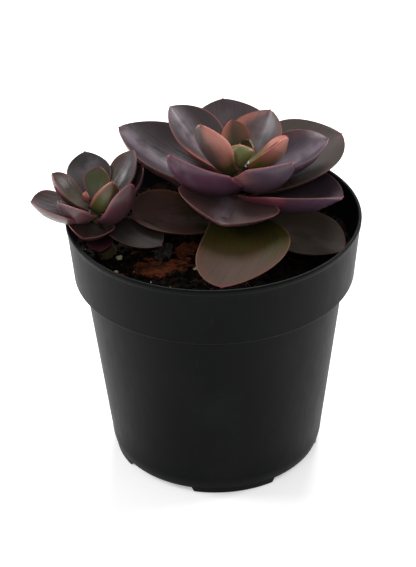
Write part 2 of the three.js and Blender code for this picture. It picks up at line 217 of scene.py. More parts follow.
inner_lip = RIM_RADIUS - LIP
profile = [
    (BASE_RADIUS - FOOT_WIDTH - 3 * MM, FOOT_HEIGHT),
    (BASE_RADIUS - FOOT_WIDTH - 0.2 * MM, FOOT_HEIGHT),
    (BASE_RADIUS - FOOT_WIDTH, "foot"),
    (BASE_RADIUS - 0.45 * MM, "foot"),
    (BASE_RADIUS - 0.1 * MM, "foot edge"),
    (BASE_RADIUS, FOOT_HEIGHT),
]
for k in range(1, CORNER_STEPS + 1):
    turn_in = 1 - (1 - k / CORNER_STEPS) ** 1.8
    profile.append((BASE_RADIUS + (CORNER_RADIUS - BASE_RADIUS) * turn_in,
                    FOOT_HEIGHT + (CORNER_Z - FOOT_HEIGHT) * k / CORNER_STEPS))
for k in range(1, BODY_STEPS + 1):
    profile.append((CORNER_RADIUS + (BODY_TOP_RADIUS - CORNER_RADIUS) * k / BODY_STEPS,
                    CORNER_Z + (COLLAR_FOOT_Z - STEP_ROUND - CORNER_Z) * k / BODY_STEPS))
profile += [(BODY_TOP_RADIUS + 0.05 * MM, COLLAR_FOOT_Z - 0.25 * MM)]
profile += [(BODY_TOP_RADIUS + 0.3 * MM, COLLAR_FOOT_Z - 0.02 * MM)]
profile += arc(COLLAR_FOOT_RADIUS - STEP_ROUND, COLLAR_FOOT_Z + STEP_ROUND, STEP_ROUND, -90, 5, 5)
collar_flare = RIM_RADIUS - 0.35 * MM - COLLAR_FOOT_RADIUS
collar_rise = POT_HEIGHT - COLLAR_FOOT_Z - 3.3 * MM
for k in range(1, COLLAR_STEPS + 1):
    profile.append((COLLAR_FOOT_RADIUS + collar_flare * k / COLLAR_STEPS,
                    COLLAR_FOOT_Z + 1 * MM + collar_rise * k / COLLAR_STEPS))
profile += [(RIM_RADIUS - 0.32 * MM, POT_HEIGHT - 2.1 * MM)]
profile += [(RIM_RADIUS - 0.08 * MM, POT_HEIGHT - 1.8 * MM)]
profile += arc(RIM_RADIUS - LIP / 2, POT_HEIGHT - LIP / 2, LIP / 2, 0, 180, 12)
profile += [(inner_lip, POT_HEIGHT - 1.6 * MM), (COLLAR_FOOT_RADIUS - WALL, COLLAR_FOOT_Z + WALL)]
profile += [(BODY_TOP_RADIUS - WALL, COLLAR_FOOT_Z + WALL)]
profile += [(CORNER_RADIUS - WALL, CORNER_Z), (BASE_RADIUS - WALL, FOOT_HEIGHT + FLOOR_THICKNESS)]
foot_levels = {
    "foot": lambda angle: FOOT_HEIGHT - foot_drop(angle),
    "foot edge": lambda angle: FOOT_HEIGHT - max(foot_drop(angle) - FOOT_BEVEL, 0),
}
pot_rings = []
for radius, height in profile:
    pot_rings.append(ring(radius, foot_levels.get(height, height), POT_SEGMENTS))
pot = add_object("pot_shell", *skin(pot_rings))


def link(tree, source, target):
    tree.links.new(source, target)


def attach(tree, socket, value):
    """Sets a socket to a number or colour, or links it to another socket."""
    if isinstance(value, bpy.types.NodeSocket):
        link(tree, value, socket)
    else:
        socket.default_value = value


def arithmetic(tree, operation, first, second=0.0):
    made = tree.nodes.new("ShaderNodeMath")
    made.operation = operation
    attach(tree, made.inputs[0], first)
    attach(tree, made.inputs[1], second)
    return made.outputs[0]


def between(tree, value, low, high, to_low=0.0, to_high=1.0):
    """value eased from to_low at low to to_high at high."""
    made = tree.nodes.new("ShaderNodeMapRange")
    made.interpolation_type = "SMOOTHSTEP"
    attach(tree, made.inputs["Value"], value)
    attach(tree, made.inputs["From Min"], low)
    attach(tree, made.inputs["From Max"], high)
    made.inputs["To Min"].default_value = to_low
    made.inputs["To Max"].default_value = to_high
    return made.outputs["Result"]


def blend(tree, amount, first, second):
    made = tree.nodes.new("ShaderNodeMix")
    made.data_type = "RGBA"
    attach(tree, made.inputs["Factor"], amount)
    attach(tree, made.inputs[6], first)
    attach(tree, made.inputs[7], second)
    return made.outputs[2]


def noise(tree, vector, scale, detail=3.0, roughness=0.55):
    made = tree.nodes.new("ShaderNodeTexNoise")
    attach(tree, made.inputs["Vector"], vector)
    made.inputs["Scale"].default_value = scale
    made.inputs["Detail"].default_value = detail
    made.inputs["Roughness"].default_value = roughness
    return made.outputs["Fac"]


def object_place(tree, stretch=(1, 1, 1)):
    """The surface point in the object's own frame, stretched along each axis."""
    place = tree.nodes.new("ShaderNodeTexCoord").outputs["Object"]
    mapping = tree.nodes.new("ShaderNodeMapping")
    link(tree, place, mapping.inputs["Vector"])
    mapping.inputs["Scale"].default_value = stretch
    return mapping.outputs["Vector"]


def add_bump(tree, surface, height, distance, strength=1.0):
    made = tree.nodes.new("ShaderNodeBump")
    link(tree, height, made.inputs["Height"])
    made.inputs["Distance"].default_value = distance
    made.inputs["Strength"].default_value = strength
    link(tree, made.outputs["Normal"], surface.inputs["Normal"])


plastic, tree, surface = new_material("black_pot_plastic", 0.5)
place = object_place(tree)
cloud = noise(tree, place, 38, 4)
scuff = noise(tree, object_place(tree, (1, 1, 0.25)), 420, 5, 0.7)
dust = between(tree, cloud, 0.45, 0.75)
worn = between(tree, scuff, 0.6, 0.78)
tone = blend(tree, dust, colour(8, 9, 10), colour(15, 16, 16))
tone = blend(tree, arithmetic(tree, "MULTIPLY", worn, 0.25), tone, colour(44, 44, 42))
link(tree, tone, surface.inputs["Base Color"])
gloss = arithmetic(tree, "MULTIPLY_ADD", scuff, 0.22)
gloss.node.inputs[2].default_value = 0.36
link(tree, gloss, surface.inputs["Roughness"])
surface.inputs["Specular IOR Level"].default_value = 0.06
orange_peel = noise(tree, place, 1500, 2)
add_bump(tree, surface, orange_peel, 0.00004)
pot.data.materials.append(plastic)
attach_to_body(pot, "root")
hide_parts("pot")

# ---------------------------------------------------------------- soil
# Peat compost, filled to a finger's width under the rim and left loose: dark crumbs, fine root
# fibres and grit lie over it, and it heaps a little round the stems.
SOIL_LEVEL = 80
SOIL_EDGE = 48.0
SOIL_RINGS = 150
SOIL_SEGMENTS = 300
CRUMBS = 1500
CRUMB_SIZES = (0.8, 1.0, 1.3, 1.8, 2.4)
CRUMB_BANDS = 4
CRUMB_SIDES = 6
FIBRES = 260
FIBRE_POINTS = 7
rng = random.Random(7)


def soil_height(x, y):
    """Height of the broad soil surface at a place measured from the pot's axis, in millimetres."""
    lumps = 0.9 * np.sin(x * 0.21 + 0.6) * np.cos(y * 0.17) + 0.5 * np.sin(x * 0.43 - y * 0.37)
    heap = 2.2 * np.exp(-((x - 3) ** 2 + (y - 6) ** 2) / 260)
    return SOIL_LEVEL + lumps + heap


def crumble(x, y):
    """Fine roughness of the soil, in millimetres."""
    rough = 0.0
    for size, depth, shift in ((0.9, 0.30, 0.0), (1.9, 0.20, 1.7), (3.7, 0.14, 4.1), (6.1, 0.09, 2.6)):
        rough += depth * np.sin(size * x + shift + 1.3 * np.sin(size * 0.7 * y + shift))
        rough += depth * np.cos(size * 1.1 * y - shift + 1.1 * np.sin(size * 0.9 * x))
    return rough


def soil_point(x, y, lift=0.0):
    """A scene point at a place in millimetres from the pot's axis, lifted off the broad surface."""
    height = soil_height(x, y) + lift
    return (axis_x + x * MM, axis_y + y * MM, height * MM)


soil_rings = [ring(35 * MM, 5 * MM, SOIL_SEGMENTS), ring(44 * MM, 68 * MM, SOIL_SEGMENTS)]
soil_rings.append(ring(47.6 * MM, 74 * MM, SOIL_SEGMENTS))
for k in range(SOIL_RINGS):
    radius = SOIL_EDGE * (1 - k / SOIL_RINGS) ** 0.9
    row = []
    for i in range(SOIL_SEGMENTS):
        angle = 2 * math.pi * i / SOIL_SEGMENTS
        x, y = radius * math.cos(angle), radius * math.sin(angle)
        row.append(soil_point(x, y, crumble(x, y) - 0.2))
    soil_rings.append(row)
soil = add_object("compost", *skin(soil_rings))

compost, tree, surface = new_material("peat_compost", 0.95)
place = object_place(tree)
grain = noise(tree, place, 900, 5, 0.7)
patch = noise(tree, place, 160, 4, 0.6)
fibre = noise(tree, object_place(tree, (1, 0.22, 1)), 1300, 3, 0.6)
tone = blend(tree, between(tree, patch, 0.4, 0.65), colour(15, 11, 8), colour(34, 23, 16))
tone = blend(tree, between(tree, fibre, 0.62, 0.75), tone, colour(66, 40, 26))
tone = blend(tree, between(tree, grain, 0.3, 0.5, 0.8, 0.0), tone, colour(8, 7, 6))
link(tree, tone, surface.inputs["Base Color"])
surface.inputs["Specular IOR Level"].default_value = 0.12
add_bump(tree, surface, grain, 0.0003)
soil.data.materials.append(compost)
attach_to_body(soil, "root")
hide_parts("soil")


def clod(centre, size, squash=1.0):
    """A small uneven lump: points and faces of a rounded block, knocked out of true."""
    rows = []
    lean = [rng.uniform(0.7, 1.25) for _ in range(3)]
    spin = rng.uniform(0, 6.3)
    for k in range(1, CRUMB_BANDS):
        polar = math.pi * k / CRUMB_BANDS
        row = []
        for i in range(CRUMB_SIDES):
            angle = spin + 2 * math.pi * i / CRUMB_SIDES
            reach = size / 2 * rng.uniform(0.75, 1.2)
            row.append((centre[0] + lean[0] * reach * math.sin(polar) * math.cos(angle),
                        centre[1] + lean[1] * reach * math.sin(polar) * math.sin(angle),
                        centre[2] - squash * lean[2] * reach * math.cos(polar)))
        rows.append(row)
    return skin(rows)


def join(parts):
    """Several (points, faces) as one."""
    points, faces = [], []
    for more_points, more_faces in parts:
        faces += [tuple(i + len(points) for i in face) for face in more_faces]
        points += more_points
    return points, faces


def random_spot(reach):
    """A place on the soil, picked evenly over a disc of this radius in millimetres."""
    radius, angle = reach * math.sqrt(rng.random()), rng.uniform(0, 2 * math.pi)
    return radius * math.cos(angle), radius * math.sin(angle)


crumbs = []
for _ in range(CRUMBS):
    x, y = random_spot(47)
    size = rng.choice(CRUMB_SIZES)
    crumbs.append(clod(soil_point(x, y, size * 0.15), size * MM, 0.8))
loose = add_object("compost_crumbs", *join(crumbs))
loose.data.materials.append(compost)
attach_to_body(loose, "root")


def strand(points, radius, sides=5):
    """A thin tube through points, tapering to both ends."""
    rows = []
    for k, point in enumerate(points):
        ahead = Vector(points[min(k + 1, len(points) - 1)]) - Vector(points[max(k - 1, 0)])
        side = ahead.cross(Vector((0, 0, 1))).normalized()
        lift = side.cross(ahead).normalized()
        share = k / (len(points) - 1)
        thin = radius * (0.35 + 0.65 * math.sin(math.pi * share))
        row = []
        for i in range(sides):
            angle = 2 * math.pi * i / sides
            row.append(tuple(Vector(point) + side * thin * math.cos(angle) + lift * thin * math.sin(angle)))
        rows.append(row)
    return skin(rows)


fibres = []
for _ in range(FIBRES):
    x, y = random_spot(46)
    heading, bend = rng.uniform(0, 6.3), rng.uniform(-0.5, 0.5)
    length, lift = rng.uniform(2, 6), rng.uniform(0.2, 0.7)
    path = []
    for k in range(FIBRE_POINTS):
        path.append(soil_point(x, y, lift + 0.5 * math.sin(k)))
        heading += bend * 0.5
        x += length / (FIBRE_POINTS - 1) * math.cos(heading)
        y += length / (FIBRE_POINTS - 1) * math.sin(heading)
    if max(abs(x), abs(y)) < 40 or math.hypot(x, y) < 47:
        fibres.append(strand(path, rng.uniform(0.08, 0.2) * MM))
roots = add_object("root_fibres", *join(fibres))
fibre_skin, tree, surface = new_material("dry_root_fibre", 0.85)
tone = blend(tree, noise(tree, object_place(tree), 260, 3), colour(34, 22, 16), colour(84, 54, 36))
link(tree, tone, surface.inputs["Base Color"])
roots.data.materials.append(fibre_skin)
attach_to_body(roots, "root")

# ---------------------------------------------------------------- stems
# Each rosette sits on a short, thick, slightly woody stem that leans away from the other.
ROSETTE_LEVEL = 100
MAIN_STEM = dict(x=8, y=9, lean_x=0.25, lean_y=0.12, top=107.2, top_radius=1.0, per_mm=0.15)
OFFSET_STEM = dict(x=-41, y=-4, lean_x=-0.2, lean_y=0, top=100, top_radius=1.1, per_mm=0.13)
STEM_ROOT = 74
STEM_STEPS = 44
STEM_SIDES = 24


def stem_centre(stem, z):
    """Where a stem's middle is at a height, in millimetres from the pot's axis."""
    rise = z - ROSETTE_LEVEL
    return stem["x"] + rise * stem["lean_x"], stem["y"] + rise * stem["lean_y"]


bark_skin, tree, surface = new_material("green_brown_stem", 0.75)
grain = noise(tree, object_place(tree, (1, 1, 3)), 300, 4)
tone = blend(tree, grain, colour(74, 62, 38), colour(122, 110, 70))
link(tree, tone, surface.inputs["Base Color"])
add_bump(tree, surface, noise(tree, object_place(tree, (1, 1, 4)), 500, 3), 0.0003)


def add_stem(name, stem, node):
    rows = []
    for k in range(STEM_STEPS + 1):
        z = STEM_ROOT + (stem["top"] - STEM_ROOT) * k / STEM_STEPS
        x, y = stem_centre(stem, z)
        radius = stem["top_radius"] + (stem["top"] - z) * stem["per_mm"]
        radius *= 0.97 + 0.05 * math.sin(2.2 * k)
        row = []
        for i in range(STEM_SIDES):
            angle = 2 * math.pi * i / STEM_SIDES
            row.append((axis_x + (x + radius * math.cos(angle)) * MM,
                        axis_y + (y + radius * math.sin(angle)) * MM, z * MM))
        rows.append(row)
    made = add_object(name, *skin(rows))
    made.data.materials.append(bark_skin)
    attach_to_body(made, "root")
    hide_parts(node)


add_stem("main_stem_bark", MAIN_STEM, "main_stem")
add_stem("offset_stem_bark", OFFSET_STEM, "offset_stem")

# ---------------------------------------------------------------- leaf form
# A leaf is a thick, water-filled spoon: channelled above, keeled below, with a rounded margin and a
# short stiff point. It is widest past its middle and narrows to a broad foot where it clasps the stem.
# Sizes are in millimetres and turns in degrees. az is the turn round the stem, start and base where the
# foot sits, reach and tip where the point ends, bow a sideways curve.
LEAF = dict(start=2.5, arch=0.12, thick=3, cup=0.35, roll=0, neck=0.42, widest=0.6, shoulder=2.2,
            point=0.72, keel=0.3, bow=0)
TIP_SHARE = 0.998
POINT_LENGTH = 1.3
POINT_RADIUS = 0.4
CHANNEL_DEPTH = 0.28
CHANNEL_WIDTH = 0.13
TIP_CROWDING = 1.7


def leaf_outline(s, leaf):
    """Half-width at share s of the length, as a share of the greatest half-width."""
    if s < leaf["widest"]:
        rise = math.sin(math.pi / 2 * (s / leaf["widest"]) ** 1.25)
        return leaf["neck"] + (1 - leaf["neck"]) * rise
    beyond = min((s - leaf["widest"]) / (1 - leaf["widest"]), 1)
    return (1 - beyond ** leaf["shoulder"]) ** leaf["point"]


def leaf_midrib(s, leaf, stem):
    """Point, direction along, direction across and direction off the upper face, at share s."""
    angle = math.radians(leaf["az"])
    rise, run = leaf["tip"] - leaf["base"], leaf["reach"] - leaf["start"]
    mid_out = (leaf["start"] + leaf["reach"]) / 2 + rise * leaf["arch"]
    mid_up = (leaf["base"] + leaf["tip"]) / 2 - run * leaf["arch"]
    out = (1 - s) ** 2 * leaf["start"] + 2 * s * (1 - s) * mid_out + s * s * leaf["reach"]
    height = (1 - s) ** 2 * leaf["base"] + 2 * s * (1 - s) * mid_up + s * s * leaf["tip"]
    outward = 2 * (1 - s) * (mid_out - leaf["start"]) + 2 * s * (leaf["reach"] - mid_out)
    upward = 2 * (1 - s) * (mid_up - leaf["base"]) + 2 * s * (leaf["tip"] - mid_up)
    x, y = stem_centre(stem, leaf["base"])
    point = Vector((x + out * math.cos(angle), y + out * math.sin(angle), height))
    along = Vector((outward * math.cos(angle), outward * math.sin(angle), upward))
    length = along.length
    along.normalize()
    across = Vector((-math.sin(angle), math.cos(angle), 0))
    across.rotate(Matrix.Rotation(math.radians(leaf["roll"]), 3, along))
    point += across * leaf["bow"] * math.sin(math.pi * s)
    return point, along, across, along.cross(across), length


def leaf_skin(leaf, stem, seed, stations, columns):
    """Rings of points round the blade, with marks for each point: how far it lies across, along and
    from the margin in millimetres, its share of the length, and 1 for the upper face or 0 for the under."""
    rings, marks = [], []
    point_share = POINT_LENGTH / leaf_midrib(1, leaf, stem)[4]
    travelled = 0.0
    last_point = None
    for k in range(stations + 1):
        s = TIP_SHARE * (1 - (1 - k / stations) ** TIP_CROWDING)
        point, along, across, face, length = leaf_midrib(s, leaf, stem)
        if last_point is not None:
            travelled += (point - last_point).length
        last_point = point
        spike = POINT_RADIUS * min((TIP_SHARE - s) / point_share, 1)
        closing = min(s / (TIP_SHARE - 0.55 * point_share), 1)
        blade = leaf["width"] / 2 * leaf_outline(closing, leaf)
        half = math.hypot(blade, spike)
        swell = 0.55 + 0.45 * math.sin(math.pi * min(s / 0.9, 1) ** 0.8)
        thick = leaf["thick"] * swell * min((1 - closing) / 0.25, 1) ** 0.45
        thick = math.hypot(thick, spike * 1.2)
        lift = leaf["cup"] * blade * math.sin(math.pi * min(s * 0.5 + 0.25, 1))
        groove = CHANNEL_DEPTH * math.sin(math.pi * s) * min(leaf["width"] / 20, 1)
        ring_points, ring_marks = [], []
        sweep = [math.sin(math.pi / 2 * (-1 + 2 * i / columns)) for i in range(columns + 1)]
        both = [(v, 1) for v in sweep[:-1]] + [(-v, 0) for v in sweep[:-1]]
        for v, upper in both:
            side = 1 if v > 0 else -1
            wave = 0.02 * math.sin(6.5 * s + seed + 2.4 * side)
            ripple = 0.22 * math.sin(8 * s + 2 * seed + 1.7 * side) * abs(v) ** 3 * math.sin(math.pi * s)
            reach = half * v * (1 + wave)
            height = lift * abs(v) ** 1.8 + ripple * min(leaf["width"] / 25, 1)
            if upper:
                height -= groove * math.exp(-((v / CHANNEL_WIDTH) ** 2))
            else:
                rounding = (1 - abs(v) ** 2.4) ** 0.6
                height -= thick * (rounding + leaf["keel"] * (1 - abs(v)) ** 1.5)
            place = point + across * reach + face * height
            ring_points.append((axis_x + place.x * MM, axis_y + place.y * MM, place.z * MM))
            margin = half * (1 - abs(v))
            flat = 1.0 if upper else 0.0
            if abs(v) > 0.999:
                flat = 0.5
            ring_marks.append((reach, travelled, margin, s, flat))
        rings.append(ring_points)
        marks.append(ring_marks)
    return rings, marks


# ---------------------------------------------------------------- leaf flesh
# The flesh is purple-brown over green, under a pale waxy bloom that is also a painted highlight along the
# channel.
# The foot of each leaf is greener, young leaves are blushed salmon, the margin is a thin pink line and the
# point is dark red.


def leaf_value(tree, name):
    """The three numbers that a leaf keeps under this name."""
    made = tree.nodes.new("ShaderNodeAttribute")
    made.attribute_name = name
    parts = tree.nodes.new("ShaderNodeSeparateXYZ")
    link(tree, made.outputs["Vector"], parts.inputs[0])
    return parts.outputs


def leaf_colour(tree, name):
    made = tree.nodes.new("ShaderNodeAttribute")
    made.attribute_name = name
    return made.outputs["Color"]


def leaf_flesh(name, roughness, gloss_level):
    made, tree, surface = new_material(name, roughness)
    across, along, seed = leaf_value(tree, "leaf_place")
    margin, share, upper = leaf_value(tree, "leaf_mark")
    green, blush_right, blush_left = leaf_value(tree, "leaf_tone")
    blush_reach, bloom_and_highlight, shade = leaf_value(tree, "leaf_age")
    lengthwise = tree.nodes.new("ShaderNodeCombineXYZ")
    attach(tree, lengthwise.inputs[0], across)
    attach(tree, lengthwise.inputs[1], arithmetic(tree, "MULTIPLY", along, 0.1))
    attach(tree, lengthwise.inputs[2], seed)
    flat_place = tree.nodes.new("ShaderNodeCombineXYZ")
    attach(tree, flat_place.inputs[0], across)
    attach(tree, flat_place.inputs[1], along)
    attach(tree, flat_place.inputs[2], seed)
    streak = noise(tree, lengthwise.outputs[0], 1.1, 4, 0.55)
    cloud = noise(tree, flat_place.outputs[0], 0.13, 3, 0.5)
    speck = noise(tree, flat_place.outputs[0], 4.0, 3, 0.65)
    # body colour: one for the upper face and one for the underside
    tone = blend(tree, upper, leaf_colour(tree, "leaf_under"), leaf_colour(tree, "leaf_upper"))
    drift = arithmetic(tree, "MULTIPLY", arithmetic(tree, "SUBTRACT", cloud, 0.5), 0.5)
    ragged = arithmetic(tree, "ADD", share, drift)
    # blush: strongest towards one margin or both, dying away up the leaf; then the green of the foot
    on_right = between(tree, across, -1.0, 2.5)
    on_left = arithmetic(tree, "SUBTRACT", 1.0, on_right)
    amount = arithmetic(tree, "ADD", arithmetic(tree, "MULTIPLY", on_right, blush_right),
                        arithmetic(tree, "MULTIPLY", on_left, blush_left))
    uneven_margin = arithmetic(tree, "SUBTRACT", margin, arithmetic(tree, "MULTIPLY", streak, 3.0))
    outward = between(tree, uneven_margin, 3.5, -1.0, 0.12, 1.0)
    inward = between(tree, ragged, arithmetic(tree, "ADD", blush_reach, 0.12),
                     arithmetic(tree, "SUBTRACT", blush_reach, 0.12))
    blush = arithmetic(tree, "MULTIPLY", arithmetic(tree, "MULTIPLY", amount, inward), outward)
    tone = blend(tree, blush, tone, leaf_colour(tree, "leaf_blush"))
    foot = between(tree, ragged, arithmetic(tree, "ADD", green, 0.15),
                   arithmetic(tree, "SUBTRACT", green, 0.3))
    tone = blend(tree, foot, tone, leaf_colour(tree, "leaf_foot"))
    # pale waxy bloom along the channel, laid on heavy enough to be a painted highlight there too, and
    # darker pores and old marks
    channel = between(tree, arithmetic(tree, "ABSOLUTE", across), 7.0, 0.0)
    wax_and_painted_highlight = arithmetic(tree, "MULTIPLY", arithmetic(tree, "MULTIPLY", channel, bloom_and_highlight),
                      between(tree, cloud, 0.35, 0.65))
    # painted highlight: the pale wax colour in the channel stands for the light's sheen along it as well as
    # for real bloom
    tone = blend(tree, wax_and_painted_highlight, tone, colour(136, 122, 132))
    dark = arithmetic(tree, "MULTIPLY", between(tree, streak, 0.5, 0.75), shade)
    tone = blend(tree, dark, tone, colour(30, 22, 22))
    pores = arithmetic(tree, "MULTIPLY", between(tree, speck, 0.5, 0.78), 0.3)
    tone = blend(tree, pores, tone, colour(26, 18, 16))
    # thin margin line and dark point
    line = between(tree, margin, 0.55, 0.1)
    tone = blend(tree, arithmetic(tree, "MULTIPLY", line, 0.6), tone, leaf_colour(tree, "leaf_edge"))
    tip = between(tree, share, 0.94, 0.97)
    tone = blend(tree, arithmetic(tree, "MULTIPLY", tip, 0.55), tone, colour(92, 26, 34))
    link(tree, tone, surface.inputs["Base Color"])
    sheen_cloud = arithmetic(tree, "MULTIPLY_ADD", speck, 0.25)
    sheen_cloud.node.inputs[2].default_value = roughness - 0.12
    link(tree, sheen_cloud, surface.inputs["Roughness"])
    surface.inputs["Specular IOR Level"].default_value = gloss_level
    relief = arithmetic(tree, "ADD", arithmetic(tree, "MULTIPLY", streak, 0.8),
                        arithmetic(tree, "MULTIPLY", speck, 0.2))
    add_bump(tree, surface, relief, 0.0003, 0.5)
    return made


outer_flesh = leaf_flesh("purple_brown_flesh", 0.36, 0.55)
inner_flesh = leaf_flesh("young_green_flesh", 0.38, 0.5)
low_flesh = leaf_flesh("old_olive_flesh", 0.55, 0.12)
LEAF_COLOURS = dict(upper=(54, 39, 43), under=(72, 50, 62), foot=(48, 42, 30), blush=(150, 80, 74),
                    edge=(132, 74, 68))
BIG_LEAF = 18
NOISE_SHIFT = 7.3


def add_leaf(node, shape, stem, flesh, slot, seed, green=0.15, left=0.0, right=0.0, reach=1.0, bloom_and_highlight=0.25,
             shade=0.25, **colours):
    leaf = {**LEAF, **shape}
    big = leaf["width"] > BIG_LEAF
    rings, marks = leaf_skin(leaf, stem, seed, 54 if big else 36, 28 if big else 20)
    points, faces = skin(rings)
    made = add_object(node + "_blade", points, faces)
    flat_marks = [mark for ring_marks in marks for mark in ring_marks]
    flat_marks += [(0, 0, 3, 0, 0.5), (0, flat_marks[-1][1], 0, 1, 0.5)]
    count = len(flat_marks)
    values = {
        "leaf_place": [(m[0], m[1], seed * NOISE_SHIFT) for m in flat_marks],
        "leaf_mark": [(m[2], m[3], m[4]) for m in flat_marks],
        "leaf_tone": [(green, right, left)] * count,
        "leaf_age": [(reach, bloom_and_highlight, shade)] * count,
    }
    for part, paint in {**LEAF_COLOURS, **colours}.items():
        values["leaf_" + part] = [colour(*paint)[:3]] * count
    for name, rows in values.items():
        layer = made.data.attributes.new(name, "FLOAT_VECTOR", "POINT")
        layer.data.foreach_set("vector", np.array(rows, np.float32).ravel())
    made.data.materials.append(flesh)
    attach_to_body(made, "root")
    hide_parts(node)


# ---------------------------------------------------------------- large rosette
# Twenty leaves in a loose spiral, packed tight at the bud and opening flat lower down, where the
# oldest droop against the soil.
MAIN_LEAVES = {
    "bud_leaf_a": dict(az=260, reach=3.2, tip=116.6, base=108, width=9.5, start=1.5, arch=0.3, thick=2.4),
    "bud_leaf_b": dict(az=40, reach=3, tip=115.4, base=108.5, width=7, start=1.2, arch=0.3, thick=2),
    "leaf_01": dict(az=110, reach=8, tip=120.5, base=107, width=10.5, arch=0.15, cup=0.4),
    "leaf_02": dict(az=1, reach=16.5, tip=117.5, base=106, width=12, arch=0.2, cup=0.45, roll=-15),
    "leaf_03": dict(az=211, reach=15.4, tip=127, base=105, width=13.2, roll=25, shoulder=1.7),
    "leaf_04": dict(az=328, reach=22.3, tip=114.2, base=100, width=21, arch=0.22, roll=-24, neck=0.8,
                    widest=0.45, shoulder=1.8),
    "leaf_05": dict(az=57, reach=21.3, tip=119.1, base=104.5, width=18.5, arch=0.15, cup=0.4, shoulder=1.9),
    "leaf_06": dict(az=214, reach=26.6, tip=119.8, base=99, width=28, arch=0.25, roll=12, neck=0.68,
                    widest=0.48, shoulder=1.5, point=0.85),
    "leaf_07": dict(az=145.5, reach=28.5, tip=122, base=103, width=22, arch=0.15, cup=0.4),
    "leaf_08": dict(az=11, reach=33.0, tip=113.5, base=101, width=24, arch=0.15, cup=0.4),
    "leaf_09": dict(az=98, reach=30, tip=118, base=101, width=29, cup=0.3, shoulder=1.8),
    "leaf_10": dict(az=261.6, reach=30, tip=100.5, base=97, width=35, arch=0.05, cup=0.3, roll=-10,
                    shoulder=1.9),
    "leaf_11": dict(az=338, reach=40.5, tip=102.5, base=96, width=27, arch=0.15, cup=0.5, roll=-8),
    "leaf_12": dict(az=159, reach=43, tip=115, base=97, width=30, arch=0.15, cup=0.4, shoulder=1.8),
    "leaf_13": dict(az=24.5, reach=42.7, tip=109.5, base=97, width=37.5, arch=0.1, cup=0.3, roll=3),
    "leaf_14": dict(az=202, reach=35.5, tip=95, base=87, width=27, arch=0.02, thick=2.3, cup=0.25,
                    roll=-8, point=0.62),
    "leaf_15": dict(az=265.5, reach=50, tip=88.5, base=91, width=30.5, arch=-0.1, cup=0.15, point=0.6,
                    bow=7.2),
    "leaf_16": dict(az=331, reach=45.3, tip=85.6, base=89, width=28, arch=0.03, cup=0.2),
    "leaf_17": dict(az=62, reach=36, tip=97.5, base=93, width=28, arch=0.08, cup=0.3),
    "leaf_18": dict(az=126, reach=36, tip=97.5, base=93, width=27, arch=0.08, cup=0.3),
}
